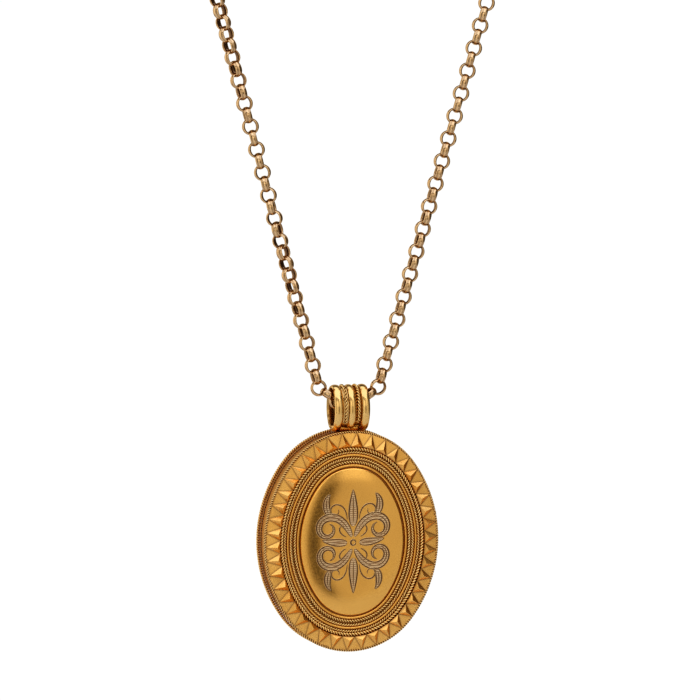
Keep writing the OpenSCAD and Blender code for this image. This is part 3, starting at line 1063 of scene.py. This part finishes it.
def on_strand(moves, distance):
    """Where a distance along the strand is: the place, the direction and the one across. A move
    is a straight run, a corner turned on the spot, or an arc of its length over its turn."""
    place, along, across = np.zeros(3), np.array([1.0, 0, 0]), np.array([0, 0, -1.0])
    for length, turn, axis in moves:
        last = distance <= length + 1e-9 and length > 0
        share = 1 if length == 0 else min(1, distance / length)
        if turn == 0 or length == 0:
            place = place + along * length * share
        else:
            radius = length / turn
            angle = turn * share
            inward = np.cross(axis, along)
            place = place + radius * (along * math.sin(angle) + inward * (1 - math.cos(angle)))
        along = turned(along, axis, turn * share)
        across = turned(across, axis, turn * share)
        if last:
            break
        distance -= length
    return place, along, across


# A link's band is crowned outside and in, and each radius bends with the square of the place
# across it. Painted shade lies on the flanks of the crown, so that its middle reads as a
# highlight, and deepens towards the middle inside.
band_half = 0.64
crown_lift = 0.03
crown_fall = 0.24
inner_lift = 0.08
inner_fall = 0.19
side_wall = 0.13
crown = np.linspace(-1, 1, 13)
hollow = np.linspace(0.94, -0.94, 9)
crown_radius = link_outer + crown_lift - crown_fall * crown ** 2
inner_radius = link_outer - link_wall - inner_lift + inner_fall * hollow ** 2
link_turn = np.linspace(0, 2 * math.pi, 40, endpoint=False)
link_radius = np.concatenate([
    crown_radius[:, None] + 0 * link_turn,
    inner_radius[:, None] - side_wall * np.sin(link_turn) ** 4,
])
link_grid = np.stack([
    link_radius * np.cos(link_turn),
    link_radius * np.sin(link_turn),
    band_half * np.concatenate([crown, hollow])[:, None] + 0 * link_turn,
], -1)
crown_painted_shade = 0.5 * np.sin(math.pi * np.abs(crown)) ** 2
inner_painted_shade = 0.1 + 0.85 * (1 - hollow ** 2) ** 0.7
link_groove = np.concatenate([crown_painted_shade, inner_painted_shade])[:, None]
chain_gold = fine_gold(
    "red_gold",
    colour=(0.93, 0.67, 0.38),
    warm=(0.9, 0.62, 0.34),
    deep=(0.2, 0.11, 0.055),
    roughness=0.17,
    mottle=120,
    grain=5000,
    tooth=0.01,
)

# How each strand twists on its way up: places along it in millimetres, and turns in degrees.
twists = {
    "chain_left": (
        [0, 7, 13, 19, 27, 31, 34, 38, 42, 48, 55, 62, 69, 76, 110, 190, 229],
        [0, 0, -2, -7, -20, -32, -43, -58, -66, -72, -76, -88, -105, -122, -150, -150, -90],
    ),
    "chain_right": (
        [0, 7, 12, 20, 30, 40, 48, 55, 80, 190, 229],
        [0, 0, -12, -6, -2, -3, -8, -14, -15, -60, -90],
    ),
}
strand_moves = chain_moves()
leaning = np.array([
    [math.cos(chain_lean), 0, -math.sin(chain_lean)],
    [0, 1, 0],
    [math.sin(chain_lean), 0, math.cos(chain_lean)],
])


def link_at(strand, number):
    """A link's points: the section turned with the strand, and by a quarter at every second
    link. The left strand runs as the right one's mirror image, and both lean the same way."""
    distance = number * pitch
    place, along, across = on_strand(strand_moves, distance)
    quarter = 90 if number % 2 == 0 else 0
    across = turned(across, along, math.radians(np.interp(distance, *twists[strand]) + quarter))
    points = place + link_grid @ np.array([along, across, np.cross(along, across)])
    if strand == "chain_left":
        points = points * [-1, 1, 1]
    return mm * (points @ leaning) + pivots["pendant_swing"]


for strand, first_link in (("chain_left", 1), ("chain_right", 0)):
    links = [link_at(strand, number) for number in range(first_link, side_links + 1)]
    strand_mesh = woven_mesh(strand + "_links", links, [link_groove] * len(links), True)
    made_piece(strand + "_links", strand_mesh, chain_gold, "chain", [strand])


# Clasp and pins: a plain ring clasp of the chain's gold at the nape, and pins of drawn wire in
# the bail's feet and the hinge. The imported ones have their true shape, and take their metals.
# The pins' gold is painted dark brown, a painted shade for where they sit under the bail and in
# the knuckles.
pin_gold = fine_gold(
    "pin_gold",
    colour=(0.5, 0.3, 0.13),
    warm=(0.42, 0.24, 0.1),
    deep=(0.2, 0.1, 0.04),
    roughness=0.3,
    mottle=600,
    grain=2600,
)
for node, metal in (("clasp", chain_gold), ("bail_pin", pin_gold), ("hinge_pin", pin_gold)):
    materials = frame["nodes"][node].data.materials
    materials.clear()
    materials.append(metal)


# Studio: a pale floor below the hanging locket, soft white panels round it, and the camera
# a little to the left of it and above, as in the photograph.
def pale_finish(name, shade, roughness):
    """A matt painted surface with a faint mottle."""
    material = bpy.data.materials.new(name)
    material.use_nodes = True
    tree = material.node_tree
    shader = tree.nodes["Principled BSDF"]
    shader.inputs["Roughness"].default_value = roughness
    noise = tree.nodes.new("ShaderNodeTexNoise")
    noise.inputs["Scale"].default_value = 30
    ramp = tree.nodes.new("ShaderNodeValToRGB")
    ramp.color_ramp.elements[0].color = (shade - 0.02,) * 3 + (1,)
    ramp.color_ramp.elements[1].color = (shade,) * 3 + (1,)
    place = tree.nodes.new("ShaderNodeTexCoord")
    tree.links.new(place.outputs["Object"], noise.inputs["Vector"])
    tree.links.new(noise.outputs["Fac"], ramp.inputs["Fac"])
    tree.links.new(ramp.outputs["Color"], shader.inputs["Base Color"])
    return material


floor_half = 0.6
floor_drop = 0.16
floor_corners = [
    (across * floor_half, away * floor_half, cad_box[0].z - floor_drop)
    for across, away in ((-1, -1), (1, -1), (1, 1), (-1, 1))
]
floor_mesh = bpy.data.meshes.new("floor")
floor_mesh.from_pydata(floor_corners, [], [(0, 1, 2, 3)])
floor_mesh.materials.append(pale_finish("pale_floor", shade=0.9, roughness=0.7))
studio_floor = bpy.data.objects.new("floor", floor_mesh)
bpy.context.scene.collection.objects.link(studio_floor)

world = bpy.data.worlds.new("studio")
bpy.context.scene.world = world
world.use_nodes = True
sky = world.node_tree
backdrop = sky.nodes["Background"]
backdrop.inputs["Color"].default_value = (1, 1, 1, 1)
backdrop.inputs["Strength"].default_value = 0.6
room = sky.nodes.new("ShaderNodeBackground")
room.inputs["Color"].default_value = (1, 0.97, 0.93, 1)
room.inputs["Strength"].default_value = 0.11
seen = sky.nodes.new("ShaderNodeLightPath")
chosen = sky.nodes.new("ShaderNodeMixShader")
sky.links.new(seen.outputs["Is Camera Ray"], chosen.inputs["Fac"])
sky.links.new(room.outputs["Background"], chosen.inputs[1])
sky.links.new(backdrop.outputs["Background"], chosen.inputs[2])
sky.links.new(chosen.outputs["Shader"], sky.nodes["World Output"].inputs["Surface"])


def looking_at_locket(azimuth, elevation):
    """The directions right, up and back of a lamp or camera that looks at the locket from an
    azimuth, which is 0 in front and negative at the left, and an elevation. A direction back
    points away from the locket."""
    turn, rise = math.radians(azimuth), math.radians(elevation)
    level = math.cos(rise)
    back = np.array([math.sin(turn) * level, -math.cos(turn) * level, math.sin(rise)])
    right = np.cross([0, 0, 1.0], back)
    right /= np.linalg.norm(right)
    return np.array([right, np.cross(back, right), back])


def put_in_studio(item, directions, place):
    """Links a lamp or camera into the scene, with its own directions and place."""
    bpy.context.scene.collection.objects.link(item)
    item.matrix_world = Matrix([
        *[[*directions[:, k], place[k]] for k in range(3)],
        [0, 0, 0, 1],
    ])


def panel(name, azimuth, elevation, distance, width, height, radiance, colour=(1, 1, 1)):
    """A soft panel that faces the locket. Its power is pi times its radiance and its area."""
    data = bpy.data.lights.new(name, "AREA")
    data.shape = "RECTANGLE"
    data.size = width
    data.size_y = height
    data.energy = math.pi * radiance * width * height
    data.color = colour
    light = bpy.data.objects.new(name, data)
    directions = looking_at_locket(azimuth, elevation)
    put_in_studio(light, directions, locket_place + distance * directions[2])
    light.visible_camera = False


# Each panel: azimuth, elevation, distance, width, height and radiance.
panel("top_panel", -20, 78, 0.8, 1.7, 1.2, 0.68, colour=(0.9, 0.98, 1.2))
panel("left_panel", -92, 8, 0.9, 0.9, 1.1, 0.36)
panel("front_left_panel", -30, 2, 1.0, 1.0, 1.0, 0.38)
panel("front_right_panel", 32, 7, 1.0, 0.82, 1.0, 0.31)
panel("front_high_panel", -4, 26, 0.95, 1.15, 0.62, 0.2)
panel("back_right_panel", 122, 32, 1.0, 0.8, 0.5, 0.13)
panel("back_left_panel", -132, 2, 1.0, 0.9, 1.2, 0.4)
panel("back_panel", 180, 0, 1.0, 1.5, 1.5, 0.25)

photo_width = 700
focal_length = 3737
camera_distance = 0.7
aim_right = -0.00036
aim_up = 0.03589
camera_data = bpy.data.cameras.new("camera")
camera_data.sensor_width = 36
camera_data.lens = camera_data.sensor_width * focal_length / photo_width
camera_data.clip_end = 20
camera = bpy.data.objects.new("camera", camera_data)
camera_directions = looking_at_locket(azimuth=-16.5, elevation=5.41)
camera_step = np.array([aim_right, aim_up, camera_distance]) @ camera_directions
put_in_studio(camera, camera_directions, locket_place + camera_step)
bpy.context.scene.camera = camera
bpy.context.scene.view_settings.view_transform = "Standard"
bpy.context.scene.view_settings.look = "Very High Contrast"
